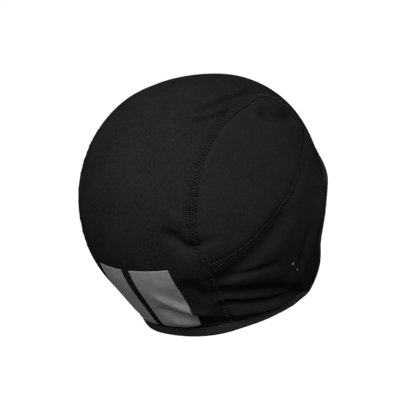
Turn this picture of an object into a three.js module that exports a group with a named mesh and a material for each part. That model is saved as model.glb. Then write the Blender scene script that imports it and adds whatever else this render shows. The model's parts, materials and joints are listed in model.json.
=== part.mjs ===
// A close-fitting skull cap, cut from black stretch jersey and joined with flatlock seams.
// It stands filled out as on a head: +Z up, the wearer facing -Y, the wearer's right at -X.
// The origin is the point inside the crown where the top of the head carries the cap.
// Places on the cap are angles seen from the middle of the head, in degrees: bearing goes
// round from the back towards the wearer's right, and rise goes up from the level.

import * as THREE from 'three';

// Sizes in millimetres
const crownRise = 98; // middle of the head to the crown's outer face
const cloth = 1.4; // thickness of the jersey
const gap = 0.3; // between neighbouring pieces
const hemWidth = 8.5; // turned and topstitched edge
const hemProud = 0.5; // how far the hem stands beyond each face of the jersey
const hemRound = 1.2; // rounding of the hem's fold
const seamWidth = 4.4; // flatlock band
const seamThick = 0.7;
const seamLift = 0.4; // from the jersey to the underside of a flatlock band
const hemClear = 2.2; // from the hem to the end of a flatlock band, along the seam
const barThick = 0.6; // reflective bar with its film
const barLift = 0.5;
const rimDrop = 71.2; // middle of the head down to the rim at the nape and ears
const browHeight = 10; // rim above the middle of the head, at the middle of the forehead

// Outer face of the filled cap: distance from the middle of the head, a row for each rise
const sections = [
  { rise: 90, back: 98, rearSide: 98, side: 98, foreSide: 98, front: 98 },
  { rise: 70, back: 103, rearSide: 100.5, side: 95.5, foreSide: 95, front: 96 },
  { rise: 50, back: 103, rearSide: 98.5, side: 88.5, foreSide: 93.5, front: 98.5 },
  { rise: 30, back: 100.5, rearSide: 95, side: 84, foreSide: 90.5, front: 100.5 },
  { rise: 10, back: 96.5, rearSide: 91.5, side: 82.5, foreSide: 88.5, front: 98 },
  { rise: -10, back: 92.5, rearSide: 88.5, side: 82.5, foreSide: 92.5, front: 98.5 },
  { rise: -25, back: 90.5, rearSide: 86, side: 84.5, foreSide: 94.5, front: 99 },
  { rise: -40, back: 94, rearSide: 89.5, side: 90, foreSide: 97, front: 100.5 },
  { rise: -55, back: 102, rearSide: 101, side: 100.5, foreSide: 101, front: 104 },
];
const columns = ['back', 'rearSide', 'side', 'foreSide', 'front'];
const columnStep = 45; // degrees of bearing from one column to the next

// Soft folds and hollows of the right half, repeated on the left, each from one bearing and rise to
// another. A depth below zero is a swelling.
const folds = [
  { name: 'crown crease', from: [60, 65], to: [132, 58], width: 7, depth: 1.2 },
  { name: 'temple hollow', from: [104, 50], to: [128, 39], width: 8, depth: 1.6 },
  { name: 'rear dent', from: [29, 11], to: [34, 6], width: 8, depth: 1.4 },
  { name: 'tuck under seam', from: [46, -13], to: [66, -8], width: 7, depth: 1.2 },
  { name: 'ear fold', from: [50, -20], to: [80, -20], width: 7, depth: -1.2 },
  { name: 'upper hem fold', from: [50, -24], to: [92, -36], width: 7, depth: 1.6 },
  { name: 'nape swelling', from: [26, -31], to: [33, -35], width: 9, depth: -1.4 },
  { name: 'front hollow', from: [93, -12], to: [99, -30], width: 9, depth: 1.2 },
];

// Rim of the right half from the middle of the nape to the middle of the forehead.
// Height is above the middle of the head, and steps is the number of facets from the row before.
const rimRows = [
  { place: 'nape middle', bearing: 0, height: -rimDrop, steps: 0 },
  { place: 'nape seam', bearing: 44, height: -rimDrop, steps: 7 },
  { place: 'behind ear', bearing: 71, height: -rimDrop, steps: 4 },
  { place: 'ear corner start', bearing: 98, height: -rimDrop, steps: 4 },
  { place: 'ear corner', bearing: 109.5, height: -67, steps: 3 },
  { place: 'ear corner end', bearing: 113.5, height: -54, steps: 3 },
  { place: 'front edge', bearing: 112, height: -30, steps: 3 },
  { place: 'temple', bearing: 121.5, height: -5, steps: 4 },
  { place: 'brow seam', bearing: 146, height: 4, steps: 3 },
  { place: 'forehead', bearing: 162, height: browHeight - 1.5, steps: 3 },
  { place: 'forehead middle', bearing: 180, height: browHeight, steps: 4 },
];

// Seam between the crown and the panels beside it, from the nape rim up and over to the brow
const crownSeamRows = [
  { bearing: 42, rise: -39, steps: 4 },
  { bearing: 40.5, rise: -24, steps: 2 },
  { bearing: 38, rise: -6, steps: 2 },
  { bearing: 36, rise: 6, steps: 2 },
  { bearing: 38, rise: 19, steps: 2 },
  { bearing: 43.5, rise: 35, steps: 3 },
  { bearing: 56, rise: 48.5, steps: 3 },
  { bearing: 80, rise: 57.5, steps: 3 },
  { bearing: 108, rise: 58, steps: 3 },
  { bearing: 130, rise: 53.3, steps: 2 },
  { bearing: 139.5, rise: 44.5, steps: 2 },
  { bearing: 139.5, rise: 34, steps: 2 },
  { bearing: 136, rise: 25, steps: 2 },
  { bearing: 138.5, rise: 14, steps: 4 },
];
const browSteps = 4; // facets from the last row above to the rim
const rearJunction = 8; // facet of the crown seam where the side seam leaves it
const frontJunction = 32; // facet of the crown seam where the side seam comes back

// Seam under the side panel, between the two junctions
const sideSeamRows = [
  { bearing: 49, rise: -4 },
  { bearing: 60, rise: -0.8 },
  { bearing: 69, rise: 2.8 },
  { bearing: 80, rise: 7 },
  { bearing: 91, rise: 11.5 },
  { bearing: 102, rise: 16 },
  { bearing: 114, rise: 20.5 },
  { bearing: 126, rise: 23.5 },
];

// Reflective bar on the right of the nape
const bar = {
  inner: 2.2, // bearing of its inner edge
  outerTop: 21.5,
  outerFoot: 25.2,
  top: -5.5, // heights above the middle of the head
  foot: -60.5,
  stepsAcross: 6,
  stepsDown: 9,
};

const sideSteps = 7; // facets across a side panel
const napeHalf = 7; // rim facets from the nape middle to the nape seam
const browHalf = 7; // rim facets from the brow seam to the forehead middle

const jerseyColour = '#232325';
const hemColour = '#2a2a2c';
const threadColour = '#39393b';
const barColour = '#6e6e70';
const jerseyRoughness = 0.92;
const threadRoughness = 0.8;
const barRoughness = 0.45;

const radians = THREE.MathUtils.degToRad;

function direction(bearing, rise) {
  const b = radians(bearing);
  const e = radians(rise);
  return new THREE.Vector3(-Math.sin(b) * Math.cos(e), Math.cos(b) * Math.cos(e), Math.sin(e));
}

// Smooth curve through the values at four knots, between the middle two
function between(values, knots, x) {
  const span = knots[2] - knots[1];
  const t = (x - knots[1]) / span;
  const startSlope = ((values[2] - values[0]) / (knots[2] - knots[0])) * span;
  const endSlope = ((values[3] - values[1]) / (knots[3] - knots[1])) * span;
  const t2 = t * t;
  const t3 = t2 * t;
  return (2 * t3 - 3 * t2 + 1) * values[1] + (t3 - 2 * t2 + t) * startSlope
    + (-2 * t3 + 3 * t2) * values[2] + (t3 - t2) * endSlope;
}

// One section's distance at a bearing. Both halves are alike, so the columns mirror at each end.
function sectionDistance(row, bearing) {
  const turned = Math.abs(THREE.MathUtils.euclideanModulo(bearing + 180, 360) - 180) / columnStep;
  const first = Math.min(Math.floor(turned), columns.length - 2);
  const wanted = [first - 1, first, first + 1, first + 2];
  const last = columns.length - 1;
  const values = wanted.map((k) => row[columns[last - Math.abs(last - Math.abs(k))]]);
  return between(values, wanted, turned);
}

function plainDistance(bearing, rise) {
  const lastRow = sections.length - 1;
  let k = 0;
  while (k < lastRow - 1 && rise < sections[k + 1].rise) k += 1;
  const at = (row) => {
    if (row < 0) return [180 - sections[1].rise, sectionDistance(sections[1], bearing + 180)];
    if (row <= lastRow) return [sections[row].rise, sectionDistance(sections[row], bearing)];
    const [low, lowValue] = at(lastRow);
    const [high, highValue] = at(lastRow - 1);
    return [2 * low - high, 2 * lowValue - highValue];
  };
  const four = [k - 1, k, k + 1, k + 2].map(at);
  return between(four.map((f) => f[1]), four.map((f) => f[0]), rise);
}

const foldEnds = folds.map((fold) => ({
  ...fold,
  from: direction(...fold.from),
  to: direction(...fold.to),
}));

// Depth of all the folds where a direction from the middle of the head meets the cap
function foldDepth(unit, distance) {
  const right = new THREE.Vector3(-Math.abs(unit.x), unit.y, unit.z);
  const nearest = new THREE.Vector3();
  return foldEnds.reduce((sum, fold) => {
    new THREE.Line3(fold.from, fold.to).closestPointToPoint(right, true, nearest);
    const away = nearest.normalize().distanceTo(right) * distance;
    return sum + fold.depth * Math.exp(-((away / fold.width) ** 2));
  }, 0);
}

// The point of the outer face that lies in the direction of a given point
function onForm(point) {
  const unit = point.clone().normalize();
  const rise = THREE.MathUtils.radToDeg(Math.asin(THREE.MathUtils.clamp(unit.z, -1, 1)));
  const bearing = THREE.MathUtils.radToDeg(Math.atan2(-unit.x, unit.y));
  const distance = plainDistance(bearing, rise);
  return unit.multiplyScalar(distance - foldDepth(unit, distance));
}

function formNormal(point) {
  const reach = 1.5;
  const side = new THREE.Vector3(0, 0, 1).cross(point);
  if (side.lengthSq() < 1) side.set(1, 0, 0);
  side.setLength(reach);
  const up = point.clone().cross(side).setLength(reach);
  const across = onForm(point.clone().add(side)).sub(onForm(point.clone().sub(side)));
  const along = onForm(point.clone().add(up)).sub(onForm(point.clone().sub(up)));
  const normal = across.cross(along).normalize();
  return normal.dot(point) < 0 ? normal.negate() : normal;
}

// The point of the outer face at a bearing and a height above the middle of the head
function atHeight(bearing, height) {
  let rise = 0;
  for (let round = 0; round < 12; round += 1) {
    rise = THREE.MathUtils.radToDeg(Math.asin(height / plainDistance(bearing, rise)));
  }
  return onForm(direction(bearing, rise));
}

const mirrored = (point) => new THREE.Vector3(-point.x, point.y, point.z);

// Points along a smooth curve through the rows, in equal steps from each row to the next
function stepped(points, steps, closed) {
  const curve = new THREE.CatmullRomCurve3(points, closed, 'centripetal');
  const spans = closed ? points.length : points.length - 1;
  const stations = [];
  for (let span = 0; span < spans; span += 1) {
    for (let k = 0; k < steps[span]; k += 1) {
      stations.push(onForm(curve.getPoint((span + k / steps[span]) / spans)));
    }
  }
  if (!closed) stations.push(onForm(points[spans]));
  return stations;
}

// Equal steps along the whole of a smooth curve
function evenly(points, count) {
  const curve = new THREE.CatmullRomCurve3(points, false, 'centripetal');
  return curve.getSpacedPoints(count).map(onForm);
}

// Rim stations, all the way round from the nape middle by the right side
const rightRim = rimRows.map((row) => atHeight(row.bearing, row.height));
const leftRim = rightRim.slice(1, -1).reverse().map(mirrored);
const rightSteps = rimRows.slice(1).map((row) => row.steps);
const rimSteps = [...rightSteps, ...rightSteps.slice().reverse()];
const rim = stepped([...rightRim, ...leftRim], rimSteps, true);

// Each station of the closed rim, with the way up from it along the cap's face
const rimFrames = rim.map((point, k) => {
  const ahead = rim[(k + 1) % rim.length];
  const behind = rim[(k + rim.length - 1) % rim.length];
  const normal = formNormal(point);
  const inward = normal.clone().cross(ahead.clone().sub(behind)).normalize();
  return { point, inward };
});

// The cap's face at a distance up from the rim
function hemLine(across) {
  return rimFrames.map((frame) => onForm(frame.point.clone().addScaledVector(frame.inward, across)));
}

const panelFoot = hemLine(hemWidth + gap);
const napeStation = napeHalf;
const browStation = rim.length / 2 - browHalf;

// Crown seam stations from the hem at the nape to the hem at the forehead
const crownSeamPoints = crownSeamRows.map((row) => onForm(direction(row.bearing, row.rise)));
const crownSeamEnds = [panelFoot[napeStation], ...crownSeamPoints, panelFoot[browStation]];
const crownSeam = stepped(crownSeamEnds, [...crownSeamRows.map((row) => row.steps), browSteps], false);

const sideSeamPoints = sideSeamRows.map((row) => onForm(direction(row.bearing, row.rise)));
const sideSeamEnds = [crownSeam[rearJunction], ...sideSeamPoints, crownSeam[frontJunction]];
const sideSeam = evenly(sideSeamEnds, frontJunction - rearJunction);

// A grid of points between four edges, laid on the cap's face. Rows run from foot to top.
function spanned(foot, top, back, front) {
  const across = foot.length - 1;
  const up = back.length - 1;
  const rows = [];
  for (let j = 0; j <= up; j += 1) {
    const v = j / up;
    const row = [];
    for (let i = 0; i <= across; i += 1) {
      const u = i / across;
      const point = new THREE.Vector3()
        .addScaledVector(foot[i], 1 - v)
        .addScaledVector(top[i], v)
        .addScaledVector(back[j], 1 - u)
        .addScaledVector(front[j], u)
        .addScaledVector(foot[0], -(1 - u) * (1 - v))
        .addScaledVector(foot[across], -u * (1 - v))
        .addScaledVector(top[0], -(1 - u) * v)
        .addScaledVector(top[across], -u * v);
      row.push(onForm(point));
    }
    rows.push(row);
  }
  return rows;
}

// Draws in the edges of a grid by half a gap, so that neighbours along a seam keep a whole one
function drawnIn(rows, edges) {
  const up = rows.length - 1;
  const across = rows[0].length - 1;
  const moves = rows.map((row) => row.map(() => new THREE.Vector3()));
  const push = (j, i, inner, along) => {
    const normal = formNormal(rows[j][i]);
    const way = along.clone().cross(normal).normalize();
    if (way.dot(inner.clone().sub(rows[j][i])) < 0) way.negate();
    moves[j][i].addScaledVector(way, gap / 2);
  };
  for (let i = 0; i <= across; i += 1) {
    const left = Math.max(i - 1, 0);
    const right = Math.min(i + 1, across);
    if (edges.foot) push(0, i, rows[1][i], rows[0][right].clone().sub(rows[0][left]));
    if (edges.top) push(up, i, rows[up - 1][i], rows[up][right].clone().sub(rows[up][left]));
  }
  for (let j = 0; j <= up; j += 1) {
    const low = Math.max(j - 1, 0);
    const high = Math.min(j + 1, up);
    if (edges.back) push(j, 0, rows[j][1], rows[high][0].clone().sub(rows[low][0]));
    const rising = rows[high][across].clone().sub(rows[low][across]);
    if (edges.front) push(j, across, rows[j][across - 1], rising);
  }
  return rows.map((row, j) => row.map((point, i) => onForm(point.clone().add(moves[j][i]))));
}

// Closes a ring of points into faces, two triangles for each side of the ring and each step
function bridge(faces, ring, next) {
  const count = ring.length;
  for (let k = 0; k < count; k += 1) {
    const other = (k + 1) % count;
    faces.push([ring[k], ring[other], next[other]], [ring[k], next[other], next[k]]);
  }
}

function solid(name, points, faces, colour, roughness) {
  const geometry = new THREE.BufferGeometry();
  const numbers = points.flatMap((p) => p.toArray());
  geometry.setAttribute('position', new THREE.Float32BufferAttribute(numbers, 3));
  geometry.setIndex(faces.flat());
  const triple = ([a, b, c]) => points[a].dot(points[b].clone().cross(points[c]));
  const volume = faces.reduce((sum, face) => sum + triple(face), 0);
  if (volume < 0) geometry.setIndex(faces.flatMap(([a, b, c]) => [a, c, b]));
  geometry.computeVertexNormals();
  const material = new THREE.MeshStandardMaterial({ color: colour, roughness, metalness: 0 });
  const mesh = new THREE.Mesh(geometry, material);
  mesh.name = name;
  return mesh;
}

// A wall over a grid of points, from a low height to a high one along the face's normals
function wall(name, rows, low, high, colour, roughness) {
  const normals = rows.map((row) => row.map(formNormal));
  const across = rows[0].length;
  const layer = rows.length * across;
  const points = [high, low].flatMap((height) => (
    rows.flatMap((row, j) => row.map((point, i) => point.clone().addScaledVector(normals[j][i], height)))
  ));
  const faces = [];
  for (let j = 0; j + 1 < rows.length; j += 1) {
    for (let i = 0; i + 1 < across; i += 1) {
      const corner = j * across + i;
      const ring = [corner, corner + 1, corner + across + 1, corner + across];
      faces.push([ring[0], ring[1], ring[2]], [ring[0], ring[2], ring[3]]);
      const under = ring.map((k) => k + layer);
      faces.push([under[2], under[1], under[0]], [under[3], under[2], under[0]]);
    }
  }
  const edge = [];
  for (let i = 0; i < across - 1; i += 1) edge.push(i);
  for (let j = 0; j < rows.length - 1; j += 1) edge.push(j * across + across - 1);
  for (let i = across - 1; i > 0; i -= 1) edge.push((rows.length - 1) * across + i);
  for (let j = rows.length - 1; j > 0; j -= 1) edge.push(j * across);
  bridge(faces, edge.map((k) => k + layer), edge);
  return solid(name, points, faces, colour, roughness);
}

// A band swept along stations, with its section given as [across, height] pairs
function band(name, frames, section, closed, colour, roughness) {
  const points = frames.flatMap((frame) => section.map(([across, height]) => {
    const foot = onForm(frame.point.clone().addScaledVector(frame.inward, across));
    return foot.addScaledVector(formNormal(foot), height);
  }));
  const count = section.length;
  const ring = (k) => section.map((_, s) => (k % frames.length) * count + s);
  const faces = [];
  const spans = closed ? frames.length : frames.length - 1;
  for (let k = 0; k < spans; k += 1) bridge(faces, ring(k), ring(k + 1));
  if (!closed) {
    const last = ring(frames.length - 1);
    for (let s = 1; s + 1 < count; s += 1) {
      faces.push([0, s + 1, s]);
      faces.push([last[0], last[s], last[s + 1]]);
    }
  }
  return solid(name, points, faces, colour, roughness);
}

function seamFrames(stations) {
  return stations.map((point, k) => {
    const ahead = stations[Math.min(k + 1, stations.length - 1)];
    const behind = stations[Math.max(k - 1, 0)];
    return { point, inward: ahead.clone().sub(behind).cross(formNormal(point)).normalize() };
  });
}

// Low arch of a flatlock band
const halfSeam = seamWidth / 2;
const seamSection = [
  [-halfSeam, seamLift],
  [halfSeam, seamLift],
  [halfSeam, seamLift + seamThick / 2],
  [halfSeam / 2, seamLift + seamThick],
  [-halfSeam / 2, seamLift + seamThick],
  [-halfSeam, seamLift + seamThick / 2],
];

function mirroredMesh(mesh, name) {
  const geometry = mesh.geometry.clone();
  const position = geometry.getAttribute('position');
  for (let k = 0; k < position.count; k += 1) position.setX(k, -position.getX(k));
  const index = Array.from(geometry.index.array);
  for (let k = 0; k < index.length; k += 3) [index[k + 1], index[k + 2]] = [index[k + 2], index[k + 1]];
  geometry.setIndex(index);
  geometry.computeVertexNormals();
  const copy = new THREE.Mesh(geometry, mesh.material);
  copy.name = name;
  return copy;
}

function hem() {
  const inner = -cloth - hemProud;
  const section = [
    [0, inner + hemRound],
    [0, hemProud - hemRound / 2],
    [hemRound, hemProud],
    [hemWidth, hemProud],
    [hemWidth, inner],
    [hemRound, inner],
  ];
  return band('hem', rimFrames, section, true, hemColour, jerseyRoughness);
}

function crownPanel() {
  const around = (from, to) => {
    const line = [];
    for (let k = from; k <= to; k += 1) line.push(panelFoot[(k + rim.length) % rim.length]);
    return line;
  };
  const foot = around(-napeHalf, napeHalf);
  const top = around(browStation, rim.length - browStation).reverse();
  const rows = spanned(foot, top, crownSeam.map(mirrored), crownSeam);
  const panel = drawnIn(rows, { back: true, front: true });
  return wall('crown_panel', panel, -cloth, 0, jerseyColour, jerseyRoughness);
}

// The side panel's ends are cut off square just inside the junctions, under the flatlock bands
function sidePanel() {
  const cut = 0.35; // of the first and last step
  const over = crownSeam.slice(rearJunction, frontJunction + 1);
  const trim = (line) => {
    const ends = line.slice();
    const last = line.length - 1;
    ends[0] = line[0].clone().lerp(line[1], cut);
    ends[last] = line[last].clone().lerp(line[last - 1], cut);
    return ends;
  };
  const top = trim(over);
  const foot = trim(sideSeam);
  const end = (k) => {
    const line = [];
    for (let j = 0; j <= sideSteps; j += 1) line.push(foot[k].clone().lerp(top[k], j / sideSteps));
    return line;
  };
  const rows = spanned(foot, top, end(0), end(foot.length - 1));
  const panel = drawnIn(rows, { foot: true, top: true });
  return wall('side_panel_right', panel, -cloth, 0, jerseyColour, jerseyRoughness);
}

function earPanel() {
  const foot = panelFoot.slice(napeStation, browStation + 1);
  const back = crownSeam.slice(0, rearJunction + 1);
  const brow = crownSeam.slice(frontJunction).reverse();
  const rows = spanned(foot, sideSeam, back, brow);
  const panel = drawnIn(rows, { top: true, back: true, front: true });
  return wall('ear_panel_right', panel, -cloth, 0, jerseyColour, jerseyRoughness);
}

// A flatlock band along a seam, stopping clear of what it meets at both ends
function flatlock(name, seam, clear) {
  const frames = seamFrames(seam);
  const end = seam.length - 1;
  const moved = (from, to) => onForm(from.clone().addScaledVector(to.clone().sub(from).normalize(), clear));
  frames[0] = { point: moved(seam[0], seam[1]), inward: frames[1].inward };
  frames[end] = { point: moved(seam[end], seam[end - 1]), inward: frames[end - 1].inward };
  return band(name, frames, seamSection, false, threadColour, threadRoughness);
}

function reflectiveBar() {
  const rows = [];
  for (let j = 0; j <= bar.stepsDown; j += 1) {
    const v = j / bar.stepsDown;
    const outer = THREE.MathUtils.lerp(bar.outerTop, bar.outerFoot, v);
    const height = THREE.MathUtils.lerp(bar.top, bar.foot, v);
    const row = [];
    for (let i = 0; i <= bar.stepsAcross; i += 1) {
      row.push(atHeight(THREE.MathUtils.lerp(bar.inner, outer, i / bar.stepsAcross), height));
    }
    rows.push(row);
  }
  return wall('reflective_bar_right', rows, barLift, barLift + barThick, barColour, barRoughness);
}

const cap = new THREE.Group();
const rightPieces = [
  sidePanel(),
  earPanel(),
  flatlock('crown_flatlock_right', crownSeam, hemClear),
  flatlock('side_flatlock_right', sideSeam, halfSeam + 2 * gap),
  reflectiveBar(),
];
cap.add(crownPanel(), hem(), ...rightPieces);
rightPieces.forEach((piece) => cap.add(mirroredMesh(piece, piece.name.replace('right', 'left'))));
cap.position.z = cloth - crownRise;

export default cap;
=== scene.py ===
# %% [markdown]
# # A close-fitting sports skull cap
# The real cap is cut and sewn from five pieces of black stretch jersey: one long panel over the crown,
# and a side panel and an ear panel on each side. Flatlock seams join them edge to edge, a turned hem
# runs round the rim, and two bars of grey reflective film sit on the nape.
# Each of those pieces is made here on its own, in metres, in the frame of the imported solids.

# %% Load the frame
import json
import math

import bpy
import numpy as np
from mathutils import Matrix
from mathutils.kdtree import KDTree

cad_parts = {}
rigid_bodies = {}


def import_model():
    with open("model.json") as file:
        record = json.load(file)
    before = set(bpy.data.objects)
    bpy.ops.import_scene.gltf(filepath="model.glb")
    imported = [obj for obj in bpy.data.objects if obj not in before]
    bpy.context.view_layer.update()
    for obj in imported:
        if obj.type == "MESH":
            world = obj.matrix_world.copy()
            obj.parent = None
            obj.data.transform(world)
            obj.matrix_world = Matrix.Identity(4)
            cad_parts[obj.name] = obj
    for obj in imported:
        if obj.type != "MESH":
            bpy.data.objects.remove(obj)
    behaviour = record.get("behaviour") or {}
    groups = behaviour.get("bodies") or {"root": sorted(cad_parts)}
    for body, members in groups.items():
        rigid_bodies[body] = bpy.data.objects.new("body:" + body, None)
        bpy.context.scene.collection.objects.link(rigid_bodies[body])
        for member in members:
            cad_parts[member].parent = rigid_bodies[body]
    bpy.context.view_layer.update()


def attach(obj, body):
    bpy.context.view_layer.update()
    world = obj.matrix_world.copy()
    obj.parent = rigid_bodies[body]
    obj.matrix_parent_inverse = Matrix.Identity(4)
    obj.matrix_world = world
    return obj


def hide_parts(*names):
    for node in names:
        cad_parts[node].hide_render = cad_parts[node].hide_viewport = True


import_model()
bpy.ops.object.select_all(action="DESELECT")

# %% [markdown]
# ## Camera
# The photograph looks down on the back of the cap from the wearer's right, and the cap leans a little
# to the left in the picture. Bearings turn from the back (0) by the wearer's right (90) to the front
# (180), and a rise is an angle above the horizon. The camera is placed by such a pair of angles, aimed
# at a point inside the cap, and then rolled. A long lens keeps the perspective as flat as it looks.

# %% Directions round the head
MM = 0.001  # metres
TINY = 1e-12  # shortest length that is divided by


def direction(bearing, rise):
    """Unit vectors for bearings and rises in degrees. The wearer faces -Y."""
    b, e = np.radians(bearing), np.radians(rise)
    return np.stack(np.broadcast_arrays(-np.sin(b) * np.cos(e), np.cos(b) * np.cos(e), np.sin(e)), -1)


def unit(vectors):
    """The same vectors at length 1."""
    return vectors / np.maximum(np.linalg.norm(vectors, axis=-1, keepdims=True), TINY)


print("toward the wearer's right", direction(90, 0).round(2))

# %% Place the camera
CAMERA_BEARING, CAMERA_RISE, CAMERA_ROLL = 44.75, 21.56, 13.38
CAMERA_DISTANCE = 1.5  # metres
CAMERA_TARGET = np.array([0.01777, -0.01193, -0.10288])
LENS, SENSOR = 176.95, 36.0  # mm
PICTURE_SIDE = 416  # pixels
TARGET_PIXEL = (200.5, 205.5)  # where the target lies in the picture, from the upper left

lens_camera = bpy.data.cameras.new("photo_camera")
lens_camera.lens, lens_camera.sensor_width = LENS, SENSOR
camera = bpy.data.objects.new("photo_camera", lens_camera)
bpy.context.scene.collection.objects.link(camera)
bpy.context.scene.camera = camera

toward_camera = direction(CAMERA_BEARING, CAMERA_RISE)
level_right = unit(np.cross(-toward_camera, [0.0, 0.0, 1.0]))
level_up = np.cross(level_right, -toward_camera)
roll = math.radians(CAMERA_ROLL)
picture_right = level_right * math.cos(roll) - level_up * math.sin(roll)
picture_up = level_right * math.sin(roll) + level_up * math.cos(roll)
focal_pixels = lens_camera.lens / lens_camera.sensor_width * PICTURE_SIDE
aside = (PICTURE_SIDE / 2 - TARGET_PIXEL[0]) / focal_pixels
above = (TARGET_PIXEL[1] - PICTURE_SIDE / 2) / focal_pixels
forward = unit(-toward_camera + aside * picture_right + above * picture_up)
camera_right = unit(picture_right - forward * (picture_right @ forward))
camera_up = np.cross(camera_right, forward)
place = CAMERA_TARGET + CAMERA_DISTANCE * toward_camera
turned = np.column_stack([camera_right, camera_up, -forward])
camera.matrix_world = Matrix.LocRotScale(place.tolist(), Matrix(turned.tolist()), None)
print("camera at", np.round(place, 3))

# %% [markdown]
# ## The form under the cloth
# A stretched cap takes the shape of the head in it. A sphere or a turned shape would have to be pushed
# about by eye, so the form is written down instead as the distance from the middle of the head in a few
# directions, the way a hat block is gauged: nine levels, and five bearings from back to front. A smooth
# cubic curve runs through the readings, and both halves of the form are alike.

# %% Distances of the form, in mm
RISES = np.array([90, 70, 50, 30, 10, -10, -25, -40, -55.0])
DISTANCES = np.array([
    # back, rear side, side, fore side, front
    [98, 98, 98, 98, 98],
    [103, 100.5, 95.5, 95, 96],
    [103, 98.5, 88.5, 93.5, 98.5],
    [100.5, 95, 84, 90.5, 100.5],
    [96.5, 91.5, 82.5, 88.5, 98],
    [92.5, 88.5, 82.5, 92.5, 98.5],
    [90.5, 86, 84.5, 94.5, 99],
    [94, 89.5, 90, 97, 100.5],
    [102, 101, 100.5, 101, 104],
])
COLUMN_STEP = 45.0  # degrees of bearing between two columns
CLOTH = 1.4  # mm, the wall of the jersey
HEAD_MIDDLE = CLOTH - DISTANCES[0, 0]  # mm, height of the middle of the head in the shared frame


def cubic(p, k, x):
    """Smooth curve through four values p at four knots k, between the middle two."""
    span = k[2] - k[1]
    t = (x - k[1]) / span
    start = (p[2] - p[0]) / (k[2] - k[0]) * span
    end = (p[3] - p[1]) / (k[3] - k[1]) * span
    return ((2 * t**3 - 3 * t**2 + 1) * p[1] + (t**3 - 2 * t**2 + t) * start
            + (3 * t**2 - 2 * t**3) * p[2] + (t**3 - t**2) * end)


def round_the_head(row, bearing):
    """One level's distance at each bearing, mirrored at the back and at the front."""
    x = np.abs((bearing + 180) % 360 - 180) / COLUMN_STEP
    i = np.clip(np.floor(x).astype(int), 0, len(row) - 2)
    mirrored = np.concatenate([[row[1]], row, [row[-2]]])
    return cubic([mirrored[i + k] for k in range(4)], [i + k - 1.0 for k in range(4)], x)


def plain_distance(bearing, rise):
    """Distance in mm from the middle of the head to the plain form."""
    levels = [round_the_head(row, bearing) for row in DISTANCES]
    levels = np.stack([round_the_head(DISTANCES[1], bearing + 180), *levels, 2 * levels[-1] - levels[-2]])
    knots = np.concatenate([[180 - RISES[1]], RISES, [2 * RISES[-1] - RISES[-2]]])
    i = np.clip(np.searchsorted(-knots, -rise, side="right") - 1, 1, len(knots) - 3)
    four = [np.take_along_axis(levels, (i + k)[None], 0)[0] for k in (-1, 0, 1, 2)]
    return cubic(four, [knots[i + k] for k in (-1, 0, 1, 2)], rise)


def plain(points):
    """The point of the plain form in the direction of each given point."""
    way = unit(np.asarray(points, float))
    rise = np.degrees(np.arcsin(np.clip(way[..., 2], -1, 1)))
    bearing = np.degrees(np.arctan2(-way[..., 0], way[..., 1]))
    return way * plain_distance(bearing, rise)[..., None]


print("form at the back, side and front", plain_distance(np.array([0, 90, 180.0]), np.zeros(3)).round(1))

# %% [markdown]
# ## Seam lines and rim
# The real seams are the edges of flat cut pieces, bent round the head when the cap is worn. Drawing those
# flat pieces first would leave their fit to chance. So the seams are drawn where they end up, on the form,
# as smooth curves through a few places, as a cutter chalks them on a block. Each place is a bearing and a
# rise, or for the rim a height, because the rim of the nape is level.

# %% Places along the rim and the seams of the right half
RIM = [  # bearing, height above the middle of the head
    (0, -70), (44, -71.7), (71, -71), (94, -71.5), (110.5, -70.3), (113.8, -56), (110.3, -30),
    (121.5, -5), (146, 4), (162, 8.5), (180, 10),
]
NAPE_SEAM, BROW_SEAM = 1, 8  # rows of RIM where the crown seam meets it
CROWN_SEAM = [
    (42, -39), (40.5, -24), (38, -6), (36, 6), (38, 19), (43.5, 35), (56, 48.5), (80, 57.5), (108, 58),
    (130, 53.3), (139.5, 44.5), (139.5, 34), (136, 25), (138.5, 14),
]
REAR_JUNCTION, FRONT_JUNCTION = 2, 12  # rows of CROWN_SEAM where the side seam leaves and comes back
SIDE_SEAM = [(49, -4), (60, -0.8), (69, 2.8), (80, 7), (91, 11.5), (102, 16), (114, 20.5), (126, 23.5)]
FOOT = 8.8  # mm from the rim to the panels' lower edge
MIRROR = np.array([-1.0, 1.0, 1.0])  # turns the right half into the left one
print("places on the rim", len(RIM), "crown seam", len(CROWN_SEAM), "side seam", len(SIDE_SEAM))

# %% Curves on the form
FINE = 40  # samples between two places
HEIGHT_ROUNDS = 12  # corrections of a rise, enough for it to settle
CLOSEST = 1e-6  # mm, the shortest step between two places of a curve
OFF_THE_POLE = np.array([1e-9, 0, 0])  # gives a point straight above the head a side of its own


def at_height(bearing, height):
    """Points of the form at the bearings, at a height in mm above the middle of the head."""
    rise = np.zeros_like(np.asarray(bearing, float))
    for _ in range(HEIGHT_ROUNDS):
        rise = np.degrees(np.arcsin(np.clip(height / plain_distance(bearing, rise), -1, 1)))
    return plain(direction(bearing, rise))


def chalked(points, closed=False):
    """Fine samples of a smooth curve through the points, laid on the form, and each point's sample."""
    p = np.asarray(points, float)
    ends = (p[-1], p[0], p[1]) if closed else (2 * p[0] - p[1], 2 * p[-1] - p[-2])
    ring = np.vstack([ends[0], p, *ends[1:]])
    spans = len(p) if closed else len(p) - 1
    t = np.arange(FINE) / FINE
    parts = []
    for k in range(spans):
        four = ring[k:k + 4]
        steps = np.sqrt(np.maximum(np.linalg.norm(np.diff(four, axis=0), axis=1), CLOSEST))
        knots = np.concatenate([[0], np.cumsum(steps)])
        x = (knots[1] + t * steps[1])[:, None]
        parts.append(cubic(four, knots, x))
    if not closed:
        parts.append(p[-1:])
    return plain(np.vstack(parts)), np.arange(len(p)) * FINE


def measured(line):
    """Distance along a line at each of its points."""
    return np.concatenate([[0], np.cumsum(np.linalg.norm(np.diff(line, axis=0), axis=1))])


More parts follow.
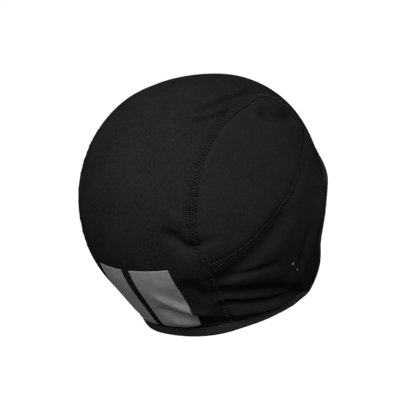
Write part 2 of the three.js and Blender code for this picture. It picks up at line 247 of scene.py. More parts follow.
def spaced(line, count, closed=False):
    """count points in equal steps along a line, with both of its ends if it is open."""
    if closed:
        line = np.vstack([line, line[:1]])
    along = measured(line)
    wanted = np.linspace(0, along[-1], count + 1)[:-1] if closed else np.linspace(0, along[-1], count)
    return np.column_stack([np.interp(wanted, along, line[:, k]) for k in range(3)])


def length_of(line):
    """Length of a line in mm."""
    return float(np.linalg.norm(np.diff(line, axis=0), axis=1).sum())


def normal_of(surface, points, step):
    """Outward normals of a surface, from four places of it, a step in mm round each point."""
    side = unit(np.cross([0.0, 0.0, 1.0], points) + OFF_THE_POLE)
    up = unit(np.cross(points, side))
    across = surface(points + step * side) - surface(points - step * side)
    along = surface(points + step * up) - surface(points - step * up)
    return unit(np.cross(across, along))


def plain_normal(points):
    return normal_of(plain, points, 1.5)


print("rim at the centre back, mm", at_height(np.array([0.0]), RIM[0][1]).round(1))

# %% Draw the rim
rim_places = np.array([at_height(np.array([b], float), h)[0] for b, h in RIM])
whole_rim = np.vstack([rim_places, rim_places[1:-1][::-1] * MIRROR])
rim_line, rim_at = chalked(whole_rim, closed=True)
print("rim", round(length_of(rim_line)), "mm round")

# %% [markdown]
# The hem turns under at the rim, and near the lower corners of the ear panels it is rolled so far under
# that only a third of it shows. A hem of one width would hide the cloth there, so its width follows a
# short table, and the panels' lower edge follows the hem.

# %% Way up from the rim
CORNER_EASE = 9.0  # mm of rim over which the way up turns, so that the hem doesn't cross itself
HEM_SHOWN = [  # bearing, share of the hem's width that isn't rolled under
    (0, 0.92), (25, 0.88), (45, 0.74), (68, 0.66), (84, 0.48),
    (98, 0.34), (110, 0.34), (118, 0.55), (140, 0.95), (180, 1.0),
]


def up_from_rim(line):
    """Way up the cap's face at each point of the closed rim, shorter where the hem rolls under."""
    ahead = np.roll(line, -1, axis=0) - np.roll(line, 1, axis=0)
    ways = unit(np.cross(plain_normal(line), ahead))
    steps = np.linalg.norm(np.diff(line, axis=0, append=line[:1]), axis=1)
    along = np.concatenate([[0], np.cumsum(steps)])
    gap = np.abs(along[:-1, None] - along[None, :-1])
    weight = np.exp(-((np.minimum(gap, along[-1] - gap) / CORNER_EASE) ** 2)) * (steps + np.roll(steps, 1))
    eased = weight @ ways
    bearings = np.degrees(np.arctan2(np.abs(line[:, 0]), line[:, 1]))
    return unit(eased) * np.interp(bearings, *np.array(HEM_SHOWN).T)[:, None]


foot_line = plain(rim_line + FOOT * up_from_rim(rim_line))
print("panels' lower edge", round(length_of(foot_line)), "mm round")

# %% Draw the seams
crown_rows = plain(direction(*np.array(CROWN_SEAM, float).T))
crown_ends = [foot_line[rim_at[NAPE_SEAM]], *crown_rows, foot_line[rim_at[BROW_SEAM]]]
crown_line, crown_at = chalked(crown_ends)
rear, front = crown_at[REAR_JUNCTION + 1], crown_at[FRONT_JUNCTION + 1]
side_rows = plain(direction(*np.array(SIDE_SEAM, float).T))
side_line, _ = chalked([crown_line[rear], *side_rows, crown_line[front]])
SEAMS = {"crown_right": crown_line, "crown_left": crown_line * MIRROR,
         "side_right": side_line, "side_left": side_line * MIRROR}
print("crown seam", round(length_of(crown_line)), "mm, side seam", round(length_of(side_line)), "mm")

# %% [markdown]
# ## Folds in the cloth
# Jersey that isn't quite filled by the head creases where it turns a corner: beside the seams, over the
# temple, and in long bands above the hem that run together at the ear corner. A cloth simulation would
# put such folds in places of its own, so they are listed one by one. Each is a path of bearings and rises
# with a width and a depth in mm. A depth below nothing makes a roll that stands out, and a lip is the
# cloth that stands up along one side of a crease, as a share of its depth. The left half doesn't show in
# the photograph, so its folds repeat the right ones more gently.

# %% Fold paths
FOLDS = [
    # name, path, width, depth, lip
    ("crown crease", [(47, 62.4), (62, 64), (76, 64.9), (92, 65), (116, 62), (136, 56.6)], 1.7, 2.6, 0.25),
    ("second crown crease", [(43, 56.8), (56, 58.4), (68, 59), (80, 59.4), (92, 60)], 1.6, 2.6, 0.25),
    ("temple hollow", [(104, 52.5), (113, 49), (121, 43), (131, 36.5), (138, 31)], 5.0, 4.8, 0.3),
    ("crease by the seam", [(33, 40), (38, 40.2), (42, 40.2), (46, 41)], 2.2, 1.1, 0.3),
    ("dent behind the ear", [(21, 15.4), (25.5, 12.8), (28.8, 9.4), (31.6, 6.2), (34.5, 5.0), (38, 5.2),
                             (43, 5.6)], 4.4, 4.4, 0.0),
    ("ridge over the dent", [(22, 25), (27, 21.6), (31.5, 17.6), (37, 12.5)], 3.8, -1.3, 0.0),
    ("dent past the seam", [(35, 9.4), (39, 7.6), (43, 6.4), (49, 6)], 3.2, 1.2, 0.0),
    ("tuck under the side seam", [(35, -17), (42, -15), (50.5, -11.6), (59, -8), (67.5, -4.2), (80, 1.6),
                                  (90, 6)], 7.6, 3.9, 0.0),
    ("ear crease", [(43, -15.4), (48.5, -15.7), (56.5, -16.3), (66.5, -17.4), (78, -20)], 2.6, 1.8, 0.0),
    ("ear roll", [(52, -19.6), (59, -21.4), (70, -24.5), (84, -28)], 4.4, -0.6, 0.0),
    ("upper hem fold", [(36, -19.6), (39, -21.2), (43, -23.4), (56, -28), (70, -33.2), (84, -39),
                        (92, -42.4), (101, -45)], 4.3, 5.0, 0.0),
    ("shade by the seam's foot", [(38, -24), (45, -27), (53, -30.5)], 3.4, 1.6, 0.0),
    ("strip between the folds", [(50, -29.6), (62, -33.4), (78, -38.8)], 2.2, -0.5, 0.0),
    ("lower hem fold", [(36, -29), (40, -31), (46, -32.6), (56, -36), (69, -39.4), (84.5, -43.4),
                        (96, -45.6), (108, -46.5)], 2.6, 4.8, 0.0),
    ("hem roll", [(38, -37.5), (47, -39.3), (58, -41.2), (72, -43.6), (84, -46)], 3.4, -1.8, 0.0),
    ("nape hollow", [(24, -9), (29.5, -16), (34, -23), (39.5, -29)], 6.4, 3.0, 0.0),
    ("nape roll", [(7, -16.5), (13, -21.6), (19, -26.8), (24, -30.7), (31, -34.5), (38, -38)],
     3.8, -2.2, 0.0),
    ("crease under the nape roll", [(3, -26), (8, -28), (14.4, -30.9), (23.4, -35.2), (28, -38.4),
                                    (33, -41.4), (42, -43), (48, -43.4)], 3.0, 3.3, 0.0),
    ("nape swell", [(5, -34.5), (12, -36.4), (19, -38.4), (26, -40.5)], 4.0, -1.7, 0.0),
    ("front hollow", [(102, -8), (98, -14), (94, -21), (92, -27), (92, -34)], 3.8, 1.9, 0.2),
    ("front edge roll", [(127, 5), (118, -2), (113, -10), (111, -19)], 8.0, -2.6, 0.0),
    ("left crown crease", [(-58, 64), (-80, 65), (-112, 62)], 2.4, 1.2, 0.4),
    ("left temple hollow", [(-104, 51), (-115, 47.5), (-130, 38)], 5.0, 2.1, 0.2),
    ("left dent behind the ear", [(-28, 13), (-35, 7)], 5.0, 1.8, 0.0),
    ("left dent past the seam", [(-38.5, 7.5), (-46, 5)], 3.6, 1.0, 0.0),
    ("left tuck under the seam", [(-39, -12.6), (-52, -8.4), (-68, -1.8), (-86, 5)], 3.4, 2.0, 0.0),
    ("left ear crease", [(-45, -15), (-60, -16), (-78, -19)], 2.6, 1.1, 0.3),
    ("left ear roll", [(-46, -19), (-62, -22.5), (-80, -28)], 4.0, -1.0, 0.0),
    ("left upper hem fold", [(-39, -21), (-58, -28.5), (-76, -35.5), (-95, -43)], 3.0, 2.3, 0.0),
    ("left lower hem fold", [(-40, -31), (-58, -36.6), (-78, -42), (-98, -46)], 2.4, 2.6, 0.0),
    ("left nape hollow", [(-30, -6), (-34, -13), (-40, -21)], 6.0, 0.8, 0.0),
    ("left nape crease", [(-14, -36), (-26, -39), (-38, -42)], 3.0, 0.7, 0.0),
    ("left front hollow", [(-93, -8), (-97, -24), (-99, -40)], 5.5, 1.2, 0.3),
    ("brow fold", [(140, 13), (160, 16.5), (180, 17.5), (200, 16.5), (220, 13)], 4.0, 0.8, 0.0),
    ("forehead crease", [(160, 31), (182, 32.5), (203, 30)], 3.2, 0.6, 0.3),
    ("back hollow", [(-6, 41), (4, 40), (12, 41.5)], 6.0, 0.35, 0.0),
]
END_FADE = 13.0  # mm at each end of a path, over which a fold fades
RIM_FADE = 6.5  # mm above the rim, where the hem holds the cloth flat
PATH_STEPS = 14  # straight steps that a path is cut into
FOLD_REACH = 4.5  # widths from its path, past which a fold isn't worked out
LIP_PLACE, LIP_WIDTH = 2.0, 1.5  # how far from the path a lip stands and how wide it is, in widths
print("folds", len(FOLDS))


# %% Depth of the folds
def smoothstep(x):
    """A soft rise from 0 to 1, flat beyond both."""
    x = np.clip(x, 0, 1)
    return x * x * (3 - 2 * x)


def fold_path(path):
    """A fold's path as points of the form, on a smooth curve through its places."""
    line, _ = chalked(plain(direction(*np.array(path, float).T)))
    return spaced(line, PATH_STEPS + 1)


def tree_of(points):
    """A search tree that finds the nearest of the points."""
    tree = KDTree(len(points))
    for number, point in enumerate(points):
        tree.insert(point, number)
    tree.balance()
    return tree


rim_tree = tree_of(rim_line)
fold_lines = [(fold_path(path), width, depth, lip) for _, path, width, depth, lip in FOLDS]


def fold_depth(points):
    """How far the folds sink each point of the plain form, in mm."""
    total = np.zeros(points.shape[:-1])
    outward = unit(points)
    for line, width, depth, lip in fold_lines:
        reach = FOLD_REACH * width
        low, high = line.min(0) - reach, line.max(0) + reach
        near = np.all((points > low) & (points < high), axis=-1)
        if not near.any():
            continue
        p, out = points[near], outward[near]
        best = np.full(len(p), np.inf)
        signed = np.zeros(len(p))
        share = np.zeros(len(p))
        for k in range(len(line) - 1):
            step = line[k + 1] - line[k]
            t = np.clip((p - line[k]) @ step / (step @ step), 0, 1)
            off = p - line[k] - t[:, None] * step
            d = np.linalg.norm(off, axis=1)
            closer = d < best
            best[closer] = d[closer]
            side = np.sign(np.einsum("ij,ij->i", np.cross(step, off), out))
            signed[closer] = (d * np.where(side == 0, 1, side))[closer]
            share[closer] = (k + t[closer]) / (len(line) - 1)
        long = length_of(line)
        fade = smoothstep(share * long / END_FADE) * smoothstep((1 - share) * long / END_FADE)
        raised = np.exp(-(((signed - LIP_PLACE * width) / (LIP_WIDTH * width)) ** 2))
        groove = np.exp(-((best / width) ** 2)) - lip * raised
        total[near] += depth * fade * groove
    from_rim = np.array([rim_tree.find(p)[2] for p in points.reshape(-1, 3)]).reshape(total.shape)
    return total * smoothstep(from_rim / RIM_FADE)


print("folds reach", round(max(FOLD_REACH * width for _, width, _, _ in fold_lines)), "mm at most")

# %% [markdown]
# ## Pull of the seams
# A flatlock seam stretches less than the jersey beside it. So the cloth dips a little towards each seam,
# and small puckers stand across it where the thread draws the edges in. The same happens along the hem.
# Bump in the material could show them, but the outline would stay smooth. So they are moved in the mesh,
# by a few waves along the seam with fixed random phases, and each run is the same.

# %% Measure along the seams
PUCKER_WAVES = ((5.4, 0.9), (7.1, 0.8), (10.6, 0.9), (17.0, 0.6))  # mm from crest to crest, share
HEM_PUCKER_SHARE = 0.35
LONGEST_START = 500.0  # mm, the most by which a seam's waves start off from another's
random = np.random.default_rng(7)
pulled_lines = [(seam, 1.0) for seam in SEAMS.values()]
pulled_lines.append((np.vstack([foot_line, foot_line[:1]]), HEM_PUCKER_SHARE))
seam_along = np.concatenate([measured(line) + random.uniform(0, LONGEST_START) for line, _ in pulled_lines])
seam_share = np.concatenate([np.full(len(line), share) for line, share in pulled_lines])
seam_points = np.vstack([line for line, _ in pulled_lines])
seam_tree = tree_of(seam_points)
phases = random.uniform(0, 2 * math.pi, len(PUCKER_WAVES))
print("seam samples", len(seam_points))

# %% Seam pull
TUCK, TUCK_REACH = 1.1, 3.6  # mm
PUCKER, PUCKER_REACH = 0.13, 5.5  # mm
TIGHT_SPOT = plain(direction(36.0, 24.0))  # the thread draws hardest beside this place
TIGHT_REACH, TIGHT_GAIN = 12.0, 2.2  # mm, and how many times more the puckers gain there


def nearest_seam(points):
    """Each point's distance in mm from the nearest seam, the place along it, and its share of puckers."""
    found = [seam_tree.find(p) for p in points]
    places = [f[1] for f in found]
    return np.array([f[2] for f in found]), seam_along[places], seam_share[places]


def tightness(points):
    """1 at the tight spot, fading to 0 round it."""
    return np.exp(-((np.linalg.norm(points - TIGHT_SPOT, axis=1) / TIGHT_REACH) ** 2))


def seam_depth(points):
    """How far the seams pull each point in, in mm."""
    flat = points.reshape(-1, 3)
    away, along, pucker_share = nearest_seam(flat)
    wave = sum(share * np.sin(2 * math.pi * along / pitch + phase)
               for (pitch, share), phase in zip(PUCKER_WAVES, phases))
    tight = (1 + TIGHT_GAIN * tightness(flat)) * pucker_share
    pull = TUCK * np.exp(-((away / TUCK_REACH) ** 2))
    pull = pull + PUCKER * tight * wave * np.exp(-((away / PUCKER_REACH) ** 2))
    return pull.reshape(points.shape[:-1])


def cloth(points):
    """The point of the cap's outer face in the direction of each given point, folds and all."""
    base = plain(points)
    return base - unit(base) * (fold_depth(base) + seam_depth(base))[..., None]


def cloth_normal(points):
    return normal_of(cloth, points, 0.9)


pulls = seam_depth(crown_line)
print("a crown seam is pulled in by", pulls.min().round(1), "to", pulls.max().round(1), "mm")

# %% [markdown]
# ## Jersey panels
# Each panel is a sheet that fills the space between four edges. It could be cut from a subdivided sphere,
# but the seams would then run across the grid and their edges would be ragged. A grid that is blended
# from its own four edges and dropped on the form follows every seam, and its rows follow the knit.
# The wall is then a Solidify of 1.4 mm, inwards from the outer face.

# %% A mesh from a grid of points
def activate(piece):
    """Selects one piece alone, for the operators."""
    bpy.ops.object.select_all(action="DESELECT")
    piece.select_set(True)
    bpy.context.view_layer.objects.active = piece


def new_piece(name, points, faces, uv):
    """A smooth-shaded object from points in mm from the middle of the head, with UVs in metres."""
    mesh = bpy.data.meshes.new(name)
    moved = (np.asarray(points).reshape(-1, 3) + [0, 0, HEAD_MIDDLE]) * MM
    mesh.from_pydata(moved.tolist(), [], [list(map(int, f)) for f in faces])
    mesh.validate()
    layer = mesh.uv_layers.new(name="UVMap")
    corner_of = np.zeros(len(mesh.loops), dtype=np.int32)
    mesh.loops.foreach_get("vertex_index", corner_of)
    layer.data.foreach_set("uv", (uv.reshape(-1, 2)[corner_of] * MM).astype(np.float32).ravel())
    mesh.shade_smooth()
    piece = bpy.data.objects.new(name, mesh)
    bpy.context.scene.collection.objects.link(piece)
    return piece


def grid_faces(rows, columns, closed=False):
    j, i = np.meshgrid(np.arange(rows - 1), np.arange(columns if closed else columns - 1), indexing="ij")
    right = (i + 1) % columns
    low, high = j * columns, (j + 1) * columns
    return np.stack([low + i, low + right, high + right, high + i], -1).reshape(-1, 4)


def grid_uv(grid):
    """Distances along the rows and up the columns, in mm, measured from the middle of the sheet."""
    across = np.concatenate([np.zeros((grid.shape[0], 1)),
                             np.cumsum(np.linalg.norm(np.diff(grid, axis=1), axis=2), axis=1)], 1)
    up = np.concatenate([np.zeros((1, grid.shape[1])),
                         np.cumsum(np.linalg.norm(np.diff(grid, axis=0), axis=2), axis=0)], 0)
    return np.stack([across - across[:, -1:] / 2, up - up[-1:] / 2], -1)


def walled(piece, thickness, offset=-1.0):
    """Gives a piece a wall in mm, inwards from its face, or outwards with an offset of 1."""
    activate(piece)
    wall = piece.modifiers.new("wall", "SOLIDIFY")
    wall.thickness, wall.offset, wall.use_even_offset = thickness * MM, offset, False
    bpy.ops.object.modifier_apply(modifier=wall.name)
    piece.data.shade_smooth()


# %% Fill between four edges
SEAM_GAP = 0.3  # mm between two cut edges


def filled(foot, top, back, front):
    """A grid of points of the form between four edges. Rows run from the foot to the top."""
    u = np.linspace(0, 1, len(foot))[None, :, None]
    v = np.linspace(0, 1, len(back))[:, None, None]
    corners = ((1 - u) * (1 - v) * foot[0] + u * (1 - v) * foot[-1]
               + (1 - u) * v * top[0] + u * v * top[-1])
    return plain((1 - v) * foot + v * top + (1 - u) * back[:, None] + u * front[:, None] - corners)


def drawn_in(grid, foot=False, top=False, back=False, front=False):
    """Moves the named edges of a grid in by half of the gap between two cut edges."""
    moved = grid.copy()
    for wanted, edge, inner in ((foot, np.s_[0], np.s_[1]), (top, np.s_[-1], np.s_[-2]),
                                (back, np.s_[:, 0], np.s_[:, 1]), (front, np.s_[:, -1], np.s_[:, -2])):
        if wanted:
            line = moved[edge]
            ahead = unit(np.gradient(line, axis=0))
            way = moved[inner] - line
            way = unit(way - ahead * np.sum(way * ahead, axis=-1, keepdims=True))
            moved[edge] = line + way * SEAM_GAP / 2
    return moved


# %% One panel
def panel(name, grid, node):
    """A walled panel of jersey that holds, for its material, where each point lies by the seams."""
    piece = new_piece(name, cloth(grid), grid_faces(*grid.shape[:2]), grid_uv(grid))
    places = grid.reshape(-1, 3)
    away, along, _ = nearest_seam(places)
    by_seam = piece.data.attributes.new("seam", "FLOAT_VECTOR", "POINT")
    values = np.column_stack([along, away, tightness(places)])
    by_seam.data.foreach_set("vector", values.astype(np.float32).ravel())
    walled(piece, CLOTH)
    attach(piece, "root")
    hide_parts(node)
    edges = [round(length_of(edge)) for edge in (grid[0], grid[-1], grid[:, 0], grid[:, -1])]
    cover = sum(face.area for face in piece.data.polygons) / 2
    print(name, "edges", edges, "mm, area", round(cover, 4), "faces", len(piece.data.polygons))


def facing_out(grid):
    """Turns a grid over if its faces would look inwards."""
    a, b, c = grid[0, 0], grid[0, -1], grid[-1, 0]
    middle = grid[grid.shape[0] // 2, grid.shape[1] // 2]
    return grid if np.cross(b - a, c - a) @ middle > 0 else grid[:, ::-1]


# %% [markdown]
# The crown panel runs from the nape over the top to the forehead. In the real pattern it is one strip
# with curved sides. Its knit rows run with it, so its grid is long and narrow too. The printed area of
# each panel is that of its worn face, in square metres, because the pieces aren't rectangles.

# %% Crown panel
CROWN_ROWS, CROWN_COLUMNS = 286, 124


def rim_stretch(line, start, stop):
    """The part of a closed line from one sample to another."""
    return line[np.arange(start, stop + 1) % len(line)]


nape_foot = rim_stretch(foot_line, -rim_at[NAPE_SEAM], rim_at[NAPE_SEAM])
brow_top = rim_stretch(foot_line, rim_at[BROW_SEAM], len(foot_line) - rim_at[BROW_SEAM])[::-1]
right_edge = spaced(crown_line, CROWN_ROWS)
left_edge = right_edge * MIRROR
crown_grid = filled(spaced(nape_foot, CROWN_COLUMNS), spaced(brow_top, CROWN_COLUMNS), left_edge, right_edge)
crown_grid = facing_out(drawn_in(crown_grid, back=True, front=True))
panel("crown_jersey", crown_grid, "crown_panel")

# %% [markdown]
# The side panel is a half moon between the crown seam and the side seam. Its two ends come to a point
# under the seams, so the grid is cut off square just inside them.

# %% Side panels
SIDE_COLUMNS, SIDE_ROWS = 118, 62
END_CUT = 2.0  # mm from each point of the half moon


def shortened(line, cut):
    """A line without its first and last few mm."""
    along = measured(line)
    return line[(along > cut) & (along < along[-1] - cut)]


over_side = spaced(shortened(crown_line[rear:front + 1], END_CUT), SIDE_COLUMNS)
under_side = spaced(shortened(side_line, END_CUT), SIDE_COLUMNS)
closing = np.linspace(0, 1, SIDE_ROWS)[:, None]
side_grid = filled(under_side, over_side, under_side[0] * (1 - closing) + over_side[0] * closing,
                   under_side[-1] * (1 - closing) + over_side[-1] * closing)
side_grid = drawn_in(side_grid, foot=True, top=True)
for hand, flip in (("right", 1), ("left", MIRROR)):
    panel(f"side_jersey_{hand}", facing_out(side_grid * flip), f"side_panel_{hand}")

# %% [markdown]
# The ear panel fills the rest of the side: it covers the ear, and runs forward to the temple. It is one
# piece on the real cap, so it is one grid, though its four edges are of very different lengths.

# %% Ear panels
EAR_COLUMNS, EAR_ROWS = 186, 66
ear_foot = spaced(rim_stretch(foot_line, rim_at[NAPE_SEAM], rim_at[BROW_SEAM]), EAR_COLUMNS)
ear_top = spaced(side_line, EAR_COLUMNS)
ear_back = spaced(crown_line[:rear + 1], EAR_ROWS)
ear_front = spaced(crown_line[front:][::-1], EAR_ROWS)
ear_grid = drawn_in(filled(ear_foot, ear_top, ear_back, ear_front), top=True, back=True, front=True)
for hand, flip in (("right", 1), ("left", MIRROR)):
    panel(f"ear_jersey_{hand}", facing_out(ear_grid * flip), f"ear_panel_{hand}")

# %% [markdown]
# ## Hem
# The jersey is turned under at the rim and sewn down with two rows of stitches. The turned edge is about
# twice as thick as the panel and rolls over softly. A curve with a bevel would twist as it goes round, so
# the hem is swept in code as one closed band. Its section is given as pairs: the distance up from the
# rim, and the height over the cap's face.

# %% Sweep a section along a line
MERGE = 1e-6  # metres between points that are joined


def swept(name, line, ways, section, closed):
    """A closed band along a line. section holds (across, height) pairs in mm, in order round the band."""
    across, height = np.array(section, float).T
    feet = cloth(line[:, None] + ways[:, None] * across[None, :, None])
    ring = feet + cloth_normal(feet) * height[None, :, None]
    along = measured(line)
    girth = np.concatenate([[0], np.cumsum(np.hypot(np.diff(across), np.diff(height)))])
    uv = np.stack(np.broadcast_arrays(along[:, None], girth[None]), -1)
    if closed:
        ring, uv = np.concatenate([ring, ring[:1]]), np.concatenate([uv, uv[:1] + [along[-1], 0]])
    faces = [list(f) for f in grid_faces(len(ring), len(section), closed=True)]
    if not closed:
        last = (len(ring) - 1) * len(section)
        faces += [list(range(len(section)))[::-1], list(range(last, last + len(section)))]
    piece = new_piece(name, ring, faces, uv)
    activate(piece)
    bpy.ops.object.mode_set(mode="EDIT")
    bpy.ops.mesh.select_all(action="SELECT")
    bpy.ops.mesh.remove_doubles(threshold=MERGE)
    bpy.ops.mesh.normals_make_consistent(inside=False)
    bpy.ops.object.mode_set(mode="OBJECT")
    return piece


# %% The hem
HEM_SECTION = [
    (0.05, -0.5), (0.0, -0.9), (0.25, -1.5), (0.8, -1.85), (2.0, -1.95), (5.0, -1.85), (8.3, -1.8),
    (8.5, -1.5), (8.5, 0.08), (9.15, 0.08), (9.2, 0.3), (8.9, 0.42), (7.6, 0.5), (7.2, 0.38), (6.8, 0.5),
    (5.6, 0.58), (5.0, 0.55), (4.6, 0.42), (4.2, 0.55), (2.6, 0.62), (1.3, 0.5), (0.5, 0.15),
]
HEM_STATIONS = 420  # places round the rim
hem_line = spaced(rim_line, HEM_STATIONS, closed=True)
hem = swept("hem_band", hem_line, up_from_rim(hem_line), HEM_SECTION, closed=True)
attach(hem, "root")
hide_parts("hem")
hem_cover = sum(face.area for face in hem.data.polygons) / 2
print("hem faces", len(hem.data.polygons), "area", round(hem_cover, 4))

# %% [markdown]
# ## Stitches
# One stitch is a short length of thread that dips into the cloth at both ends. It is modelled once from
# a coarse sphere, flattened underneath, and then copied along the seams by code, because a seam holds
# hundreds of them. The real thread is about 0.25 mm thick and is drawn at 0.4 to 0.55 mm, so that it
# shows. Bisect hands back its new points in an order of its own, so they are sorted, and each run gives
# the same mesh.

# %% One stitch
STITCH_SIDES, STITCH_RINGS = 6, 4
UNDERSIDE = -0.2  # height of the flat cut, in thicknesses of the thread
bpy.ops.object.select_all(action="DESELECT")
bpy.ops.mesh.primitive_uv_sphere_add(segments=STITCH_SIDES, ring_count=STITCH_RINGS, radius=0.5,
                                     location=(0, 0, 0), rotation=(0, math.pi / 2, 0))
stitch_model = bpy.context.active_object
stitch_model.name = "stitch_model"
bpy.ops.object.transform_apply(location=True, rotation=True, scale=True)
bpy.ops.object.mode_set(mode="EDIT")
bpy.ops.mesh.select_all(action="SELECT")
bpy.ops.mesh.bisect(plane_co=(0, 0, UNDERSIDE), plane_no=(0, 0, -1), clear_outer=True, use_fill=True)
bpy.ops.mesh.select_all(action="SELECT")
bpy.ops.mesh.normals_make_consistent(inside=False)
bpy.ops.object.mode_set(mode="OBJECT")


def from_lowest(corners):
    """The corners of a face in the same turn, from the lowest number on."""
    start = corners.index(min(corners))
    return corners[start:] + corners[:start]


found = [tuple(round(x, 6) + 0.0 for x in vertex.co) for vertex in stitch_model.data.vertices]
ordered = sorted(found)
stitch_faces = sorted(from_lowest([ordered.index(found[v]) for v in face.vertices])
                      for face in stitch_model.data.polygons)
stitch_points = np.array(ordered)
bpy.data.objects.remove(stitch_model)
print("one stitch has", len(stitch_points), "points and", len(stitch_faces), "faces")


# %% Copies along a line
def thread(starts, ends, height, thick, inside=False):
    """Points and faces of a stitch from each start to each end, over the outer or the inner face."""
    starts, ends = cloth(starts), cloth(ends)
    middle = (starts + ends) / 2
    up = cloth_normal(middle)
    if inside:
        middle, up = middle - up * CLOTH, -up
    ahead = ends - starts
    long = np.linalg.norm(ahead, axis=1, keepdims=True)
    ahead = unit(ahead - up * np.sum(ahead * up, axis=1, keepdims=True))
    side = np.cross(up, ahead)
    x, y, z = stitch_points.T
    points = ((middle + up * height)[:, None]
              + ahead[:, None] * x[None, :, None] * (long + thick)[:, None]
              + side[:, None] * y[None, :, None] * thick
              + up[:, None] * z[None, :, None] * thick)
    faces = [[v + k * len(stitch_points) for v in f] for k in range(len(starts)) for f in stitch_faces]
    return points.reshape(-1, 3), faces


def add_threads(name, sets):
    """One piece made of several sets of stitches."""
    points, faces = [], []
    for p, f in sets:
        base = sum(len(q) for q in points)
        points.append(p)
        faces += [[v + base for v in face] for face in f]
    return new_piece(name + "_thread", np.vstack(points), faces, np.vstack(points)[:, :2])


# %% [markdown]
# ## Flatlock seams
# A flatlock machine lays the two cut edges side by side and covers them, outside and inside, with a
# ladder of thread: rows of needle stitches along the seam, and a looper thread that runs to and fro
# across them. The real ladder has four rows, and three are drawn, so that they can be told apart. A bump
# map of stitches would lie flat in the outline. So each seam is a low band about 4.4 mm wide on each
# face of the cloth, with a ladder of real threads on top.

# %% Flatlock bands
HALF_SEAM = 2.2  # mm
SEAM_SECTION = [(-2.2, 0.06), (2.2, 0.06), (2.3, 0.16), (2.1, 0.34), (1.6, 0.42), (0.85, 0.3), (0.0, 0.4),
                (-0.85, 0.3), (-1.6, 0.42), (-2.1, 0.34), (-2.3, 0.16)]
SEAM_STEP = 1.5  # mm from one section to the next
STITCH = 2.4  # mm, the length of one stitch along the seam
NEEDLE_ROWS = (-1.8, 0.0, 1.8)  # mm across the seam
NEEDLE_THREAD, LOOPER_THREAD = 0.55, 0.42  # mm thick
NEEDLE_HEIGHT, LOOPER_HEIGHT = 0.46, 0.6  # mm over the face of the cloth


def ways_across(line):
    """The direction across a seam at each of its points."""
    ahead = unit(np.gradient(line, axis=0))
    return unit(np.cross(ahead, plain_normal(line)))


def flatlock(name, line, node, inside):
    """The band and the ladder of thread of one seam, on the outer or the inner face of the cloth."""
    stations = spaced(line, int(length_of(line) / SEAM_STEP) + 1)
    section = [(x, -CLOTH - y) for x, y in SEAM_SECTION[::-1]] if inside else SEAM_SECTION
    band = swept(name, stations, ways_across(stations), section, closed=False)
    marks = spaced(line, int(length_of(line) / STITCH) + 1)
    ways = ways_across(marks)
    rails = [marks + ways * row for row in NEEDLE_ROWS]
    sets = [thread(rail[:-1], rail[1:], NEEDLE_HEIGHT, NEEDLE_THREAD, inside) for rail in rails]
    near, far = marks - ways * NEEDLE_ROWS[-1], marks + ways * NEEDLE_ROWS[-1]
    halfway = (near[:-1] + near[1:]) / 2
    sets.append(thread(far[:-1], halfway, LOOPER_HEIGHT, LOOPER_THREAD, inside))
    sets.append(thread(halfway, far[1:], LOOPER_HEIGHT, LOOPER_THREAD, inside))
    ladder = add_threads(name, sets)
    for piece, slot in ((band, "jersey"), (ladder, "seam_thread")):
        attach(piece, "root")
        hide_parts(node)
    print(name, len(marks) - 1, "stitches,", len(ladder.data.polygons), "faces of thread")
    return band, ladder


# %% Sew the seams
CROWN_BAND_CUT = 0.45  # mm left bare at each end, at the hem
seam_bands, ladders = [], []
crown_band_line = shortened(crown_line, CROWN_BAND_CUT)
side_band_line = shortened(side_line, HALF_SEAM)
for hand, flip in (("right", 1), ("left", MIRROR)):
    for kind, line in (("crown", crown_band_line), ("side", side_band_line)):
        for place, inside in (("", False), ("inner_", True)):
            node = f"{kind}_flatlock_{hand}"
            band, ladder = flatlock(f"{place}{kind}_seam_{hand}", line * flip, node, inside)
            seam_bands.append(band)
            ladders.append(ladder)

# %% [markdown]
# ## Topstitching on the hem
# The two rows of stitches that hold the turned hem are laid the same way, as short threads with bare
# gaps between them, where the thread dips. They lie in shallow grooves of the hem's section.

# %% Hem stitches
HEM_ROWS = (4.6, 7.2)  # mm up from the rim
HEM_STITCH = 2.6  # mm from one stitch to the next
HEM_GAP_SHARE = 0.2  # of each stitch's length, left bare
HEM_THREAD_HEIGHT, HEM_THREAD = 0.48, 0.38  # mm over the cloth, mm thick
hem_marks = spaced(rim_line, int(length_of(rim_line) / HEM_STITCH), closed=True)
marks_up = up_from_rim(hem_marks)
hem_rows = []
for row in HEM_ROWS:
    rail = hem_marks + marks_up * row
    ahead = np.roll(rail, -1, axis=0)
    stop = ahead + (rail - ahead) * HEM_GAP_SHARE
    hem_rows.append(thread(rail, stop, HEM_THREAD_HEIGHT, HEM_THREAD))
hem_thread = add_threads("hem", hem_rows)
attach(hem_thread, "root")
print("hem stitches", len(hem_marks) * len(HEM_ROWS))

# %% [markdown]
# ## Reflective bars
# The bars are heat-bonded film, so they lie on the jersey and follow each of its folds. They could be
# painted on the cloth by its material, but then they would have no edge. So each is a fine grid dropped
# on the cloth, lifted by a tenth of a millimetre and given a thin wall outwards. The left bar is drawn
# narrower than the right one, as the photograph shows it.

# %% Bars on the nape
BAR_INNER = 2.2  # bearing of the edge by the centre back
BAR_OUTER = {"right": (21.5, 25.2), "left": (17.8, 20.4)}  # bearings at the top and the foot
BAR_TOP, BAR_FOOT = -5.5, -60.0  # mm above the middle of the head
BAR_COLUMNS, BAR_ROWS = 34, 52
BAR_EDGE = 0.012  # share of the bar in its first and last step, so that only the edge shades round
FILM_LIFT, FILM = 0.1, 0.1  # mm


def stepped(count):
    """Even steps from 0 to 1, but for a very short one at each end."""
    return np.concatenate([[0], np.linspace(BAR_EDGE, 1 - BAR_EDGE, count - 2), [1]])


